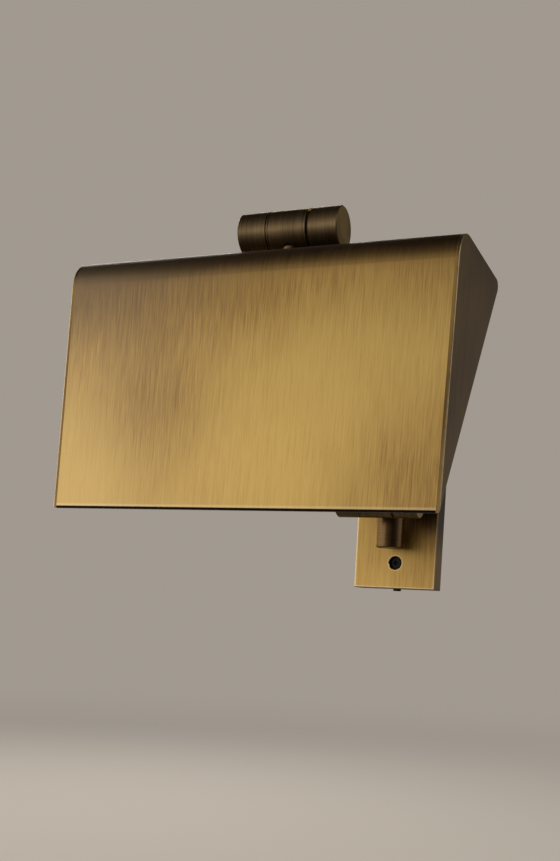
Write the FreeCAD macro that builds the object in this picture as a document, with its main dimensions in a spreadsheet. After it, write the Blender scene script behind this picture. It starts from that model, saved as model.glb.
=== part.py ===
"""Picture light: rectangular brass shade on a jointed arm with a box-shaped wall plate.

Frame: +Z up, +X to the right along the wall, +Y into the wall. The origin is the middle of the
wall plate on the wall face, so the whole fitting stands in front of the wall at negative Y.
"""
import FreeCAD, Part
import Sketcher
import math
import os
from FreeCAD import Placement, Rotation, Vector

DOC = FreeCAD.newDocument("picture_light")
SHEET = DOC.addObject("Spreadsheet::Sheet", "dims")

# ---------------------------------------------------------------------------
# Driving dimensions, millimetres and degrees. Each value is written once.
# ---------------------------------------------------------------------------
DIMENSIONS = {
    # wall plate: a shallow brass box over a steel bracket
    "plate_width": 60.0,
    "plate_height": 115.0,
    "plate_depth": 15.5,
    "plate_wall": 1.5,
    "plate_edge": 0.6,
    "fixing_offset": 39.2,
    "cover_hole_radius": 4.5,
    "cover_hole_rim": 0.6,
    "bracket_width": 46.0,
    "bracket_thick": 2.5,
    "bracket_gap": 2.0,
    "bracket_tab_depth": 7.0,
    "bracket_tab_width": 16.0,
    "wall_slot_spacing": 50.8,
    "wall_slot_radius": 2.5,
    "wall_slot_length": 12.0,
    "cable_hole_radius": 8.0,
    "grommet_lip": 1.5,
    "grommet_bore": 4.5,
    "saddle_width": 18.0,
    "saddle_thick": 5.0,
    "counterbore_depth": 3.5,
    "fixing_radius": 2.0,
    "fixing_head_radius": 3.5,
    "fixing_head_height": 2.5,
    "pillar_radius": 4.0,
    "edge_screw_radius": 2.8,
    "edge_screw_proud": 1.5,
    # terminal block and earth screw beside the saddle
    "block_width": 15.0,
    "block_depth": 9.0,
    "block_height": 24.0,
    "block_ways": 3.0,
    "terminal_radius": 2.2,
    "earth_radius": 2.0,
    "earth_head_radius": 4.0,
    "earth_stand": 3.0,
    "earth_head_thick": 2.2,
    "tag_thick": 0.8,
    "tag_length": 12.0,
    "earth_offset": 16.0,
    # vertical swivel barrel in front of the plate
    "barrel_radius": 9.3,
    "barrel_length": 59.4,
    "barrel_stand": 30.1,
    "swivel_height": 14.0,
    "swivel_chamber_radius": 6.5,
    "swivel_slot_angle": 130.0,
    "stub_radius": 5.0,
    "stub_depth": 3.0,
    "stub_nut_radius": 8.0,
    "stub_nut_thick": 3.0,
    # horizontal knuckles, the same at both ends of the arm
    "knuckle_radius": 11.35,
    "knuckle_length": 57.9,
    "centre_length": 21.7,
    "knuckle_reach": 27.5,
    "neck_radius": 6.0,
    "neck_bore": 3.2,
    "end_chamfer": 0.5,
    "thrust_gap": 1.7,
    "thrust_rim": 1.0,
    "thrust_inset": 0.3,
    "fibre_inset": 1.3,
    "running_gap": 0.05,
    # pivot bolts with nut, disc spring and end plugs
    "pivot_radius": 2.5,
    "pivot_socket": 2.3,
    "pivot_head_radius": 4.25,
    "pivot_head_height": 5.0,
    "recess_radius": 5.5,
    "recess_depth": 10.0,
    "spring_thick": 1.5,
    "nut_radius": 4.6,
    "nut_thick": 5.0,
    "plug_thick": 2.5,
    "chamber_radius": 8.0,
    "chamber_width": 9.0,
    "wire_slot": 6.0,
    # arm: a round tube between two forks
    "arm_length": 210.7,
    "arm_rise": 36.86,
    "arm_radius": 5.0,
    "arm_wall": 1.0,
    "fork_half_width": 24.0,
    "fork_clear": 1.05,
    "fork_depth": 8.0,
    "fork_thick": 13.0,
    "arm_socket": 5.0,
    "fit_gap": 0.05,
    # shade: a folded sheet between two flat end plates
    "shade_width": 215.0,
    "shade_front": 137.3,
    "shade_top": 80.9,
    "shade_fold": 16.2,
    "shade_wall": 1.5,
    "shade_tilt": 3.7,
    "shade_hang": 23.3,
    "shade_ahead": 47.6,
    "notch_half_width": 7.5,
    "notch_gap": 1.2,
    "end_thick": 2.0,
    "end_corner": 4.0,
    "end_edge": 0.7,
    # stem that carries the shade
    "stem_radius": 6.0,
    "thread_radius": 5.0,
    "stem_bore": 3.2,
    "collar_radius": 10.0,
    "collar_thick": 1.5,
    "washer_radius": 9.0,
    "washer_thick": 1.2,
    "stem_nut_radius": 8.1,
    "stem_nut_thick": 4.0,
    "stem_end": 1.5,
    "lock_radius": 2.3,
    "lock_gap": 0.3,
    "lock_sink": 0.5,
    "lock_angle": 242.0,
    # reflector liner, lamp bracket, lampholder and lamp
    "liner_wall": 0.8,
    "liner_gap": 4.0,
    "liner_fold": 14.0,
    "liner_front": 110.0,
    "liner_top": 58.0,
    "liner_end_gap": 3.5,
    "strap_thick": 1.5,
    "strap_width": 24.0,
    "strap_tail": 12.0,
    "strap_lead_ahead": 6.0,
    "strap_lead_drop": 40.0,
    "lead_loop": 18.0,
    "lamp_drop": 58.0,
    "lamp_ahead": 12.0,
    "holder_start": 62.0,
    "holder_base_radius": 11.0,
    "leg_behind_lamp": 13.0,
    "holder_base_length": 12.0,
    "holder_radius": 13.5,
    "holder_length": 34.0,
    "holder_wall": 1.6,
    "holder_nipple_radius": 4.9,
    "holder_nipple_nut": 7.5,
    "cap_radius": 6.9,
    "cap_length": 22.0,
    "lamp_radius": 12.5,
    "lamp_length": 66.0,
    "lamp_wall": 0.8,
    "filament_radius": 1.0,
    "filament_spread": 9.0,
    "filament_count": 4.0,
    # leads held inside the fitting
    "lead_radius": 1.2,
    "lead_bend": 5.0,
    "lead_tight_bend": 2.4,
    "bush_radius": 3.2,
    "bush_flange": 4.5,
    "bush_flange_thick": 0.8,
    "bush_bore": 1.6,
}


def fill_sheet():
    """Write every driving dimension into its own cell and name the cell."""
    for row, (alias, value) in enumerate(DIMENSIONS.items(), start=1):
        SHEET.set("A%d" % row, alias)
        SHEET.set("B%d" % row, str(value))
        SHEET.setAlias("B%d" % row, alias)
    DOC.recompute()


fill_sheet()


def dim(alias):
    """A driving dimension as a plain number."""
    return float(SHEET.get(alias))


# ---------------------------------------------------------------------------
# Small builders. An expression is text in which D.name stands for a cell.
# ---------------------------------------------------------------------------
AXIS_TURN = {
    "x": Rotation(Vector(0, 1, 0), 90),
    "y": Rotation(Vector(1, 0, 0), -90),
    "z": Rotation(),
}
NODES = []


def bind(obj, prop, expression):
    """Bind one property to an expression over the sheet."""
    obj.setExpression(prop, expression.replace("D.", "dims."))


def move(obj, x="0", y="0", z="0"):
    """Bind the three coordinates of a placement."""
    for axis, expression in zip("xyz", (x, y, z)):
        bind(obj, "Placement.Base.%s" % axis, "(%s) * 1mm" % expression)


def cylinder(axis, radius, length, x="0", y="0", z="0", name="Round"):
    """A cylinder that runs from its position along the given axis."""
    obj = DOC.addObject("Part::Cylinder", name)
    obj.Placement = Placement(Vector(), AXIS_TURN[axis])
    bind(obj, "Radius", "(%s) * 1mm" % radius)
    bind(obj, "Height", "(%s) * 1mm" % length)
    move(obj, x, y, z)
    return obj


def sector(radius, width, start_angle, sweep):
    """A slice of a disc centred on the X axis, width measured along X."""
    obj = cylinder("x", radius, width, x="-(%s) / 2" % width, name="Sector")
    # the slice starts on the cylinder's own first axis, which points down after the turn to X
    turn = Rotation(Vector(1, 0, 0), start_angle + 90)
    obj.Placement = Placement(obj.Placement.Base, turn.multiply(AXIS_TURN["x"]))
    obj.Angle = sweep
    return obj


def hexagon(axis, circumradius, length, x="0", y="0", z="0"):
    """A hexagonal prism that runs from its position along the given axis."""
    obj = DOC.addObject("Part::Prism", "Hexagon")
    obj.Polygon = 6
    obj.Placement = Placement(Vector(), AXIS_TURN[axis])
    bind(obj, "Circumradius", "(%s) * 1mm" % circumradius)
    bind(obj, "Height", "(%s) * 1mm" % length)
    move(obj, x, y, z)
    return obj


def cone(axis, radius_start, radius_end, length, x="0", y="0", z="0"):
    """A cone frustum that runs from its position along the given axis."""
    obj = DOC.addObject("Part::Cone", "Taper")
    obj.Placement = Placement(Vector(), AXIS_TURN[axis])
    bind(obj, "Radius1", "(%s) * 1mm" % radius_start)
    bind(obj, "Radius2", "(%s) * 1mm" % radius_end)
    bind(obj, "Height", "(%s) * 1mm" % length)
    move(obj, x, y, z)
    return obj


def block(length, depth, height, x, y, z):
    """A box given by its three lengths and its lowest corner."""
    obj = DOC.addObject("Part::Box", "Block")
    bind(obj, "Length", "(%s) * 1mm" % length)
    bind(obj, "Width", "(%s) * 1mm" % depth)
    bind(obj, "Height", "(%s) * 1mm" % height)
    move(obj, x, y, z)
    return obj


def fuse(*shapes):
    """Join shapes into one solid."""
    obj = DOC.addObject("Part::MultiFuse", "Joined")
    obj.Shapes = list(shapes)
    obj.Refine = True
    return obj


def cut(base, *tools):
    """Cut tools out of a base."""
    obj = DOC.addObject("Part::Cut", "Trimmed")
    obj.Base = base
    obj.Tool = tools[0] if len(tools) == 1 else fuse(*tools)
    obj.Refine = True
    return obj


def group(*shapes):
    """Identical pieces that share one node as separate solids."""
    obj = DOC.addObject("Part::Compound", "Group")
    obj.Links = list(shapes)
    return obj


def in_wall_frame(obj):
    """Leave a piece in the frame of the whole fitting."""
    return obj


def at_swivel(obj):
    """Place a piece whose own origin is the middle of the vertical barrel."""
    move(obj, y="-D.barrel_stand")
    return obj


def at_lower_knuckle(obj):
    """Place a piece whose own origin is the middle of the lower knuckle."""
    move(obj, y=LOWER_Y)
    return obj


def on_arm(obj):
    """Place a piece drawn from the lower knuckle with its own +Y up along the arm."""
    obj.Placement = Placement(Vector(), Rotation(Vector(1, 0, 0), 90))
    bind(obj, "Placement.Rotation.Angle", "(180 - D.arm_rise) * 1deg")
    move(obj, y=LOWER_Y)
    return obj


def at_arm_end(obj):
    """Place a piece drawn from the upper knuckle with its own +Y down along the arm."""
    obj.Placement = Placement(Vector(), Rotation(Vector(-1, 0, 0), 30))
    bind(obj, "Placement.Rotation.Angle", "D.arm_rise * 1deg")
    move(obj, y=UPPER_Y, z=UPPER_Z)
    return obj


def at_shade(obj):
    """Place a piece drawn from the upper knuckle in the tilted frame of the shade."""
    obj.Placement = Placement(Vector(), Rotation(Vector(-1, 0, 0), 7))
    bind(obj, "Placement.Rotation.Angle", "D.shade_tilt * 1deg")
    move(obj, y=UPPER_Y, z=UPPER_Z)
    return obj


def node(label, obj, place=in_wall_frame):
    """Name a finished sub-part and put it where it belongs."""
    obj.Label = label
    NODES.append(place(obj))
    return obj


# Places worked out from the driving dimensions.
LOWER_Y = "-(D.barrel_stand + D.knuckle_reach)"
UPPER_Y = "-(D.barrel_stand + D.knuckle_reach + D.arm_length * cos(D.arm_rise * 1deg))"
UPPER_Z = "D.arm_length * sin(D.arm_rise * 1deg)"
SADDLE_FRONT = "-(D.plate_depth - D.plate_wall)"
SADDLE_BACK = "-(D.plate_depth - D.plate_wall - D.saddle_thick)"
STUB_Z = "((D.swivel_height / 2 + D.thrust_gap + D.barrel_length / 2) / 2)"
BRACKET_HEIGHT = "(D.plate_height - 2 * D.plate_wall - 2 * D.bracket_gap)"
SADDLE_HALF = "(D.plate_height / 2 - D.plate_wall - 2 * D.bracket_gap - D.bracket_thick)"


# ---------------------------------------------------------------------------
# Part Design helpers
# ---------------------------------------------------------------------------
def new_body(name):
    """A Part Design body."""
    return DOC.addObject("PartDesign::Body", name)


def sketch_on(body, role):
    """A sketch on one of the body's own origin planes."""
    plane = [item for item in body.Origin.OriginFeatures if item.Role == role][0]
    sketch = body.newObject("Sketcher::SketchObject", "Sketch")
    sketch.AttachmentSupport = [(plane, "")]
    sketch.MapMode = "FlatFace"
    return sketch


def constrain(sketch, kind, *arguments, expression=None):
    """Add a constraint and, for a size, bind it to an expression."""
    index = sketch.addConstraint(Sketcher.Constraint(kind, *arguments))
    if expression is not None:
        bind(sketch, "Constraints[%d]" % index, "(%s) * 1mm" % expression)
    return index


def centred_rectangle(sketch, width, height):
    """A rectangle centred on the sketch origin, its two sizes bound to expressions."""
    corners = [Vector(-1, -1), Vector(1, -1), Vector(1, 1), Vector(-1, 1)]
    first = sketch.GeometryCount
    for start, end in zip(corners, corners[1:] + corners[:1]):
        sketch.addGeometry(Part.LineSegment(start * 10, end * 10), False)
    for side in range(4):
        constrain(sketch, "Coincident", first + side, 2, first + (side + 1) % 4, 1)
        constrain(sketch, "Horizontal" if side % 2 == 0 else "Vertical", first + side)
    constrain(sketch, "Symmetric", first, 1, first + 2, 1, -1, 1)
    constrain(sketch, "DistanceX", first, 1, first, 2, 20.0, expression=width)
    constrain(sketch, "DistanceY", first + 1, 1, first + 1, 2, 20.0, expression=height)


def circle_on_axis(sketch, height, radius, guess):
    """A circle on the sketch's vertical axis, its height and radius bound to expressions."""
    index = sketch.addGeometry(Part.Circle(Vector(0, guess, 0), Vector(0, 0, 1), 3.0), False)
    constrain(sketch, "PointOnObject", index, 3, -2)
    constrain(sketch, "DistanceY", -1, 1, index, 3, guess, expression=height)
    constrain(sketch, "Radius", index, 3.0, expression=radius)


def extrude(body, kind, sketch, length, backwards=False):
    """A Pad or a Pocket of bound length."""
    feature = body.newObject("PartDesign::%s" % kind, kind)
    feature.Profile = sketch
    feature.Reversed = backwards
    bind(feature, "Length", "(%s) * 1mm" % length)
    DOC.recompute()
    return feature


def round_edges(body, base, radius, wanted):
    """Fillet those edges of a feature for which wanted(edge) is true."""
    names = ["Edge%d" % (i + 1) for i, edge in enumerate(base.Shape.Edges) if wanted(edge)]
    feature = body.newObject("PartDesign::Fillet", "Fillet")
    feature.Base = (base, names)
    bind(feature, "Radius", "(%s) * 1mm" % radius)
    DOC.recompute()
    return feature


def is_line(edge):
    """True for a straight edge."""
    return isinstance(edge.Curve, (Part.Line, Part.LineSegment))


# ---------------------------------------------------------------------------
# Wall plate
# ---------------------------------------------------------------------------
def backplate_cover():
    """Shallow brass box, open at the back, with two rimmed screw holes and two stub holes."""
    body = new_body("CoverBody")
    outline = sketch_on(body, "XZ_Plane")
    centred_rectangle(outline, "D.plate_width", "D.plate_height")
    pad = extrude(body, "Pad", outline, "D.plate_depth")
    front = -dim("plate_depth")

    def outer_edge(edge):
        low, high = edge.BoundBox.YMin, edge.BoundBox.YMax
        on_front = abs(low - front) < 0.01 and abs(high - front) < 0.01
        return on_front or high - low > 1.0

    round_edges(body, pad, "D.plate_edge", outer_edge)
    hollow = sketch_on(body, "XZ_Plane")
    centred_rectangle(hollow, "D.plate_width - 2 * D.plate_wall", "D.plate_height - 2 * D.plate_wall")
    extrude(body, "Pocket", hollow, "D.plate_depth - D.plate_wall", backwards=True)
    holes = sketch_on(body, "XZ_Plane")
    for sign in ("", "-"):
        guess = 38.0 if sign == "" else -38.0
        circle_on_axis(holes, sign + "D.fixing_offset", "D.cover_hole_radius", guess)
        circle_on_axis(holes, sign + STUB_Z, "D.stub_radius + D.fit_gap", guess / 2)
    circle_on_axis(holes, "0", "D.bush_radius + D.fit_gap", 0.0)
    extrude(body, "Pocket", holes, "2 * D.plate_depth", backwards=True)
    rims = [
        cone("y", "D.cover_hole_radius + D.cover_hole_rim", "D.cover_hole_radius", "D.cover_hole_rim",
             y="-D.plate_depth", z=sign + "D.fixing_offset")
        for sign in ("", "-")
    ]
    edge_hole = cylinder("z", "D.edge_screw_radius + D.fit_gap", "3 * D.plate_wall",
                         y="-D.bracket_tab_depth", z="-D.plate_height / 2 - D.plate_wall")
    node("backplate_cover", cut(body, edge_hole, *rims))


def wall_bracket():
    """Steel bracket against the wall, with two slots for the wall screws and a cable hole."""
    plate = block("D.bracket_width", "D.bracket_thick", BRACKET_HEIGHT,
                  "-D.bracket_width / 2", "-D.bracket_thick", "-%s / 2" % BRACKET_HEIGHT)
    tab = block("D.bracket_tab_width", "D.bracket_tab_depth + D.edge_screw_radius + 1", "D.bracket_thick",
                "-D.bracket_tab_width / 2", "-(D.bracket_tab_depth + D.edge_screw_radius + 1)",
                "-%s / 2" % BRACKET_HEIGHT)
    tools = [cylinder("y", "D.cable_hole_radius", "3 * D.bracket_thick", y="-2 * D.bracket_thick")]
    straight = "(D.wall_slot_length - 2 * D.wall_slot_radius)"
    for sign in ("", "-"):
        centre = "(%sD.wall_slot_spacing / 2)" % sign
        tools.append(block("2 * D.wall_slot_radius", "3 * D.bracket_thick", straight,
                           "-D.wall_slot_radius", "-2 * D.bracket_thick", "%s - %s / 2" % (centre, straight)))
        for end in ("+", "-"):
            tools.append(cylinder("y", "D.wall_slot_radius", "3 * D.bracket_thick", y="-2 * D.bracket_thick",
                                  z="%s %s %s / 2" % (centre, end, straight)))
        tools.append(cylinder("y", "D.fixing_radius", "3 * D.bracket_thick",
                              y="-2 * D.bracket_thick", z=sign + "D.fixing_offset"))
    earth = cylinder("y", "D.earth_radius", "3 * D.bracket_thick", x="-D.earth_offset",
                     y="-2 * D.bracket_thick", z="D.earth_offset")
    node("wall_bracket", cut(fuse(plate, tab), earth, *tools))


def bracket_pillars():
    """Two threaded pillars pressed into the bracket, which take the cover screws."""
    length = "(D.plate_depth - D.plate_wall - D.saddle_thick - D.bracket_thick)"
    pillars = []
    for sign in ("", "-"):
        height = sign + "D.fixing_offset"
        outer = cylinder("y", "D.pillar_radius", length, y=SADDLE_BACK, z=height)
        thread = cylinder("y", "D.fixing_radius", length + " + 1", y=SADDLE_BACK + " - 0.5", z=height)
        pillars.append(cut(outer, thread))
    node("bracket_pillars", group(*pillars))


def cover_saddle():
    """Stiff bar behind the cover's face: it takes the barrel stubs and the cover screws."""
    bar = block("D.saddle_width", "D.saddle_thick", "2 * " + SADDLE_HALF,
                "-D.saddle_width / 2", SADDLE_FRONT, "-" + SADDLE_HALF)
    tools = []
    for sign in ("", "-"):
        tools.append(cylinder("y", "D.stub_radius + D.fit_gap", "3 * D.saddle_thick",
                              y=SADDLE_FRONT + " - D.saddle_thick", z=sign + STUB_Z))
        tools.append(cylinder("y", "D.fixing_radius + 0.25", "3 * D.saddle_thick",
                              y=SADDLE_FRONT + " - D.saddle_thick", z=sign + "D.fixing_offset"))
        tools.append(cylinder("y", "D.cover_hole_radius", "D.counterbore_depth",
                              y=SADDLE_FRONT, z=sign + "D.fixing_offset"))
    tools.append(cylinder("y", "D.bush_radius + D.fit_gap", "3 * D.saddle_thick",
                          y=SADDLE_FRONT + " - D.saddle_thick"))
    node("cover_saddle", cut(bar, *tools))


def cover_screws():
    """Two socket screws, deep in the rimmed holes of the cover."""
    seat = SADDLE_FRONT + " + D.counterbore_depth"
    screws = []
    for sign in ("", "-"):
        height = sign + "D.fixing_offset"
        head = cylinder("y", "D.fixing_head_radius", "D.fixing_head_height",
                        y=seat + " - D.fixing_head_height", z=height)
        shank_length = "(D.plate_depth - D.plate_wall - D.counterbore_depth - D.bracket_thick / 2)"
        shank = cylinder("y", "D.fixing_radius", shank_length, y=seat, z=height)
        socket = hexagon("y", "D.fixing_radius * 0.85", "D.fixing_head_height * 0.7",
                         y=seat + " - D.fixing_head_height", z=height)
        screws.append(cut(fuse(head, shank), socket))
    node("cover_screws", group(*screws))


def cover_edge_screw():
    """Grub screw through the cover's lower edge, which bears on the bracket's tab."""
    length = "(D.plate_wall + D.bracket_gap + D.edge_screw_proud)"
    low = "-D.plate_height / 2 - D.edge_screw_proud"
    body = cylinder("z", "D.edge_screw_radius", length, y="-D.bracket_tab_depth", z=low)
    socket = hexagon("z", "D.edge_screw_radius * 0.6", "D.edge_screw_proud * 1.5",
                     y="-D.bracket_tab_depth", z=low)
    node("cover_edge_screw", cut(body, socket))


def cable_grommet():
    """Rubber grommet in the bracket's cable hole."""
    waist = cylinder("y", "D.cable_hole_radius", "D.bracket_thick", y="-D.bracket_thick")
    lip = cylinder("y", "D.cable_hole_radius + D.grommet_lip", "D.grommet_lip",
                   y="-D.bracket_thick - D.grommet_lip")
    bore = cylinder("y", "D.grommet_bore", "4 * D.bracket_thick", y="-3 * D.bracket_thick")
    node("cable_grommet", cut(fuse(waist, lip), bore))


def lead_bush():
    """Plastic bush that lines the hole for the lead in the middle of the cover and saddle."""
    tube = cylinder("y", "D.bush_radius", "D.plate_wall + D.saddle_thick", y="-D.plate_depth")
    flange = cylinder("y", "D.bush_flange", "D.bush_flange_thick", y="-D.plate_depth - D.bush_flange_thick")
    bore = cylinder("y", "D.bush_bore", "2 * D.plate_depth", y="-2 * D.plate_depth")
    node("lead_bush", cut(fuse(tube, flange), bore))


BLOCK_X = "(D.saddle_width / 2 + 1.5)"
BLOCK_Y = "-(D.bracket_thick + D.block_depth)"


def terminal_block():
    """Three-way terminal block beside the saddle, with round screw wells."""
    body = block("D.block_width", "D.block_depth", "D.block_height", BLOCK_X, BLOCK_Y, "-D.block_height / 2")
    pitch = "(D.block_height / D.block_ways)"
    wells = [
        cylinder("y", "D.terminal_radius", "D.block_depth * 0.7", x=BLOCK_X + " + D.block_width / 2", y=BLOCK_Y,
                 z="%s * (%d - (D.block_ways - 1) / 2)" % (pitch, way))
        for way in range(int(dim("block_ways")))
    ]
    node("terminal_block", cut(body, *wells))
    screws = []
    for way in range(int(dim("block_ways"))):
        height = "%s * (%d - (D.block_ways - 1) / 2)" % (pitch, way)
        middle = BLOCK_X + " + D.block_width / 2"
        shank = cylinder("y", "D.terminal_radius - 0.2", "D.block_depth * 0.5",
                         x=middle, y=BLOCK_Y + " + D.block_depth * 0.2", z=height)
        slot = block("2 * D.terminal_radius", "0.6", "0.6", middle + " - D.terminal_radius",
                     BLOCK_Y + " + D.block_depth * 0.2", height + " - 0.3")
        screws.append(cut(shank, slot))
    node("terminal_screws", group(*screws))


def earth_screw():
    """Earth screw with its tag washer on the bracket."""
    place = {"x": "-D.earth_offset", "z": "D.earth_offset"}
    front = "-D.bracket_thick - D.earth_stand"
    head = cylinder("y", "D.earth_head_radius", "D.earth_head_thick", y=front, **place)
    shank = cylinder("y", "D.earth_radius", "D.earth_stand + D.bracket_thick", y=front, **place)
    slot = block("2 * D.earth_head_radius", "D.tag_thick", "D.tag_thick",
                 "-D.earth_offset - D.earth_head_radius", front, "D.earth_offset - D.tag_thick / 2")
    node("earth_screw", cut(fuse(head, shank), slot))
    behind = "-D.bracket_thick - D.tag_thick"
    ring = cylinder("y", "D.earth_head_radius + D.tag_thick / 2", "D.tag_thick", y=behind, **place)
    tongue = block("2 * D.earth_radius", "D.tag_thick", "D.tag_length",
                   "-D.earth_offset - D.earth_radius", behind, "D.earth_offset")
    hole = cylinder("y", "D.earth_radius", "3 * D.tag_thick", y="-D.bracket_thick - 2 * D.tag_thick", **place)
    node("earth_tag", cut(fuse(ring, tongue), hole))


# ---------------------------------------------------------------------------
# Vertical swivel barrel
# ---------------------------------------------------------------------------
def barrel_studs():
    """Two threaded studs that hold the barrel's fixed ends to the plate, with their nuts."""
    studs = []
    nuts = []
    start = "-(D.barrel_stand - D.barrel_radius + D.stub_depth)"
    length = "(%s - %s + D.stub_nut_thick)" % (SADDLE_BACK, start)
    for sign in ("-", ""):
        studs.append(cylinder("y", "D.stub_radius", length, y=start, z=sign + STUB_Z))
        body = hexagon("y", "D.stub_nut_radius", "D.stub_nut_thick", y=SADDLE_BACK, z=sign + STUB_Z)
        hole = cylinder("y", "D.stub_radius", "3 * D.stub_nut_thick",
                        y=SADDLE_BACK + " - D.stub_nut_thick", z=sign + STUB_Z)
        nuts.append(cut(body, hole))
    node("barrel_studs", group(*studs))
    node("stud_nuts", group(*nuts))


def barrel_end(name, upwards):
    """A fixed end of the barrel: bored for the pivot, recessed at its outer end."""
    end_length = "(D.barrel_length / 2 - D.swivel_height / 2 - D.thrust_gap)"
    inner = "(D.swivel_height / 2 + D.thrust_gap)"
    outer = "(D.barrel_length / 2)"
    sign = "" if upwards else "-"
    low = inner if upwards else "-" + outer
    main = cylinder("z", "D.barrel_radius", end_length + " - D.end_chamfer",
                    z=low if upwards else low + " + D.end_chamfer")
    if upwards:
        bevel = cone("z", "D.barrel_radius", "D.barrel_radius - D.end_chamfer", "D.end_chamfer",
                     z=outer + " - D.end_chamfer")
        recess_start = outer + " - D.recess_depth"
    else:
        bevel = cone("z", "D.barrel_radius - D.end_chamfer", "D.barrel_radius", "D.end_chamfer", z="-" + outer)
        recess_start = "-" + outer
    bore = cylinder("z", "D.pivot_radius + D.running_gap", "D.barrel_length",
                    z="-D.barrel_length / 2" if not upwards else "0")
    recess = cylinder("z", "D.recess_radius", "D.recess_depth", z=recess_start)
    socket = cylinder("y", "D.stub_radius", "D.barrel_radius + D.stub_depth",
                      y="D.barrel_radius - D.stub_depth", z=sign + STUB_Z)
    trimmed = cut(fuse(main, bevel), bore, recess, socket)
    node(name, trimmed, at_swivel)


def swivel_barrel():
    """The turning middle of the barrel: chamber, slot at the back for the lead, hole for the neck."""
    main = cylinder("z", "D.barrel_radius", "D.swivel_height", z="-D.swivel_height / 2")
    bore = cylinder("z", "D.pivot_radius + D.running_gap", "2 * D.swivel_height", z="-D.swivel_height")
    chamber = cylinder("z", "D.swivel_chamber_radius", "D.swivel_height / 2", z="-D.swivel_height / 4")
    slot = cylinder("z", "2 * D.barrel_radius", "D.wire_slot", name="Slot")
    slot.Placement = Placement(Vector(), Rotation(Vector(0, 0, 1), 25))
    bind(slot, "Placement.Rotation.Angle", "(90 - D.swivel_slot_angle / 2) * 1deg")
    move(slot, z="-D.wire_slot / 2")
    bind(slot, "Angle", "D.swivel_slot_angle * 1deg")
    wire = cylinder("y", "D.neck_bore", "2 * D.barrel_radius", y="-2 * D.barrel_radius")
    node("swivel_barrel", cut(main, bore, chamber, slot, wire), at_swivel)


def swivel_neck():
    """Short neck from the barrel to the lower knuckle, shaped to both round surfaces."""
    tube = cylinder("y", "D.neck_radius", "D.knuckle_reach", y="-D.knuckle_reach")
    bore = cylinder("y", "D.lead_radius", "2 * D.knuckle_reach", y="-1.5 * D.knuckle_reach")
    barrel = cylinder("z", "D.barrel_radius", "4 * D.neck_radius", z="-2 * D.neck_radius")
    knuckle = cylinder("x", "D.knuckle_radius", "4 * D.neck_radius",
                       x="-2 * D.neck_radius", y="-D.knuckle_reach")
    node("swivel_neck", cut(tube, bore, barrel, knuckle), at_swivel)
    margin = "(D.pivot_radius + D.lead_radius)"
    lead = cylinder("y", "D.lead_radius", "D.knuckle_reach - 2 * " + margin, y="%s - D.knuckle_reach" % margin)
    node("neck_lead", group(lead), at_swivel)


# ---------------------------------------------------------------------------
# Pivot hardware, the same set in every joint
# ---------------------------------------------------------------------------
def pivot_bolt(axis, seat, tip):
    """Socket-head bolt: head in the recess on one side, thread end on the other."""
    head = cylinder(axis, "D.pivot_head_radius", "D.pivot_head_height", **{axis: seat})
    shank = cylinder(axis, "D.pivot_radius", "%s + %s" % (tip, seat), **{axis: "-" + tip})
    socket = hexagon(axis, "D.pivot_socket", "D.pivot_head_height / 2",
                     **{axis: "%s + D.pivot_head_height / 2" % seat})
    return cut(fuse(head, shank), socket)


def pivot_nut(axis, seat):
    """Hexagon nut outside the disc spring."""
    start = "-(%s + D.spring_thick + D.nut_thick)" % seat
    nut = hexagon(axis, "D.nut_radius", "D.nut_thick", **{axis: start})
    thread = cylinder(axis, "D.pivot_radius", "3 * D.nut_thick", **{axis: start + " - D.nut_thick"})
    return cut(nut, thread)


def disc_spring(axis, seat):
    """Coned spring washer that keeps the joint stiff."""
    start = "-(%s + D.spring_thick)" % seat
    disc = cone(axis, "D.nut_radius * 0.85", "D.nut_radius", "D.spring_thick", **{axis: start})
    hole = cylinder(axis, "D.pivot_radius + D.fit_gap", "3 * D.spring_thick",
                    **{axis: start + " - D.spring_thick"})
    return cut(disc, hole)


def thrust_ring(axis, middle, radius):
    """Brass ring on one side of the middle segment: a narrow hub with a thin rim around it."""
    start = "-(%s / 2 + D.thrust_gap)" % middle
    hub = cylinder(axis, radius + " - 2", "D.thrust_gap - D.running_gap", **{axis: start})
    rim = cylinder(axis, radius + " - D.thrust_inset", "D.thrust_rim",
                   **{axis: "%s + (D.thrust_gap - D.thrust_rim) / 2" % start})
    hole = cylinder(axis, "D.pivot_radius + D.running_gap", "4 * D.thrust_gap",
                    **{axis: start + " - D.thrust_gap"})
    return cut(fuse(hub, rim), hole)


def fibre_washer(axis, middle, radius):
    """Dark washer on the other side of the middle segment."""
    start = "(%s / 2 + D.running_gap)" % middle
    washer = cylinder(axis, radius + " - D.fibre_inset", "D.thrust_gap - D.running_gap", **{axis: start})
    hole = cylinder(axis, "D.pivot_radius + D.running_gap", "4 * D.thrust_gap",
                    **{axis: start + " - D.thrust_gap"})
    return cut(washer, hole)


def end_plugs(axis, total):
    """The two plugs that close the recesses flush with the end faces."""
    radius = "D.recess_radius"
    far = cylinder(axis, radius, "D.plug_thick", **{axis: "%s / 2 - D.plug_thick" % total})
    near = cylinder(axis, radius, "D.plug_thick", **{axis: "-%s / 2" % total})
    return group(far, near)


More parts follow.
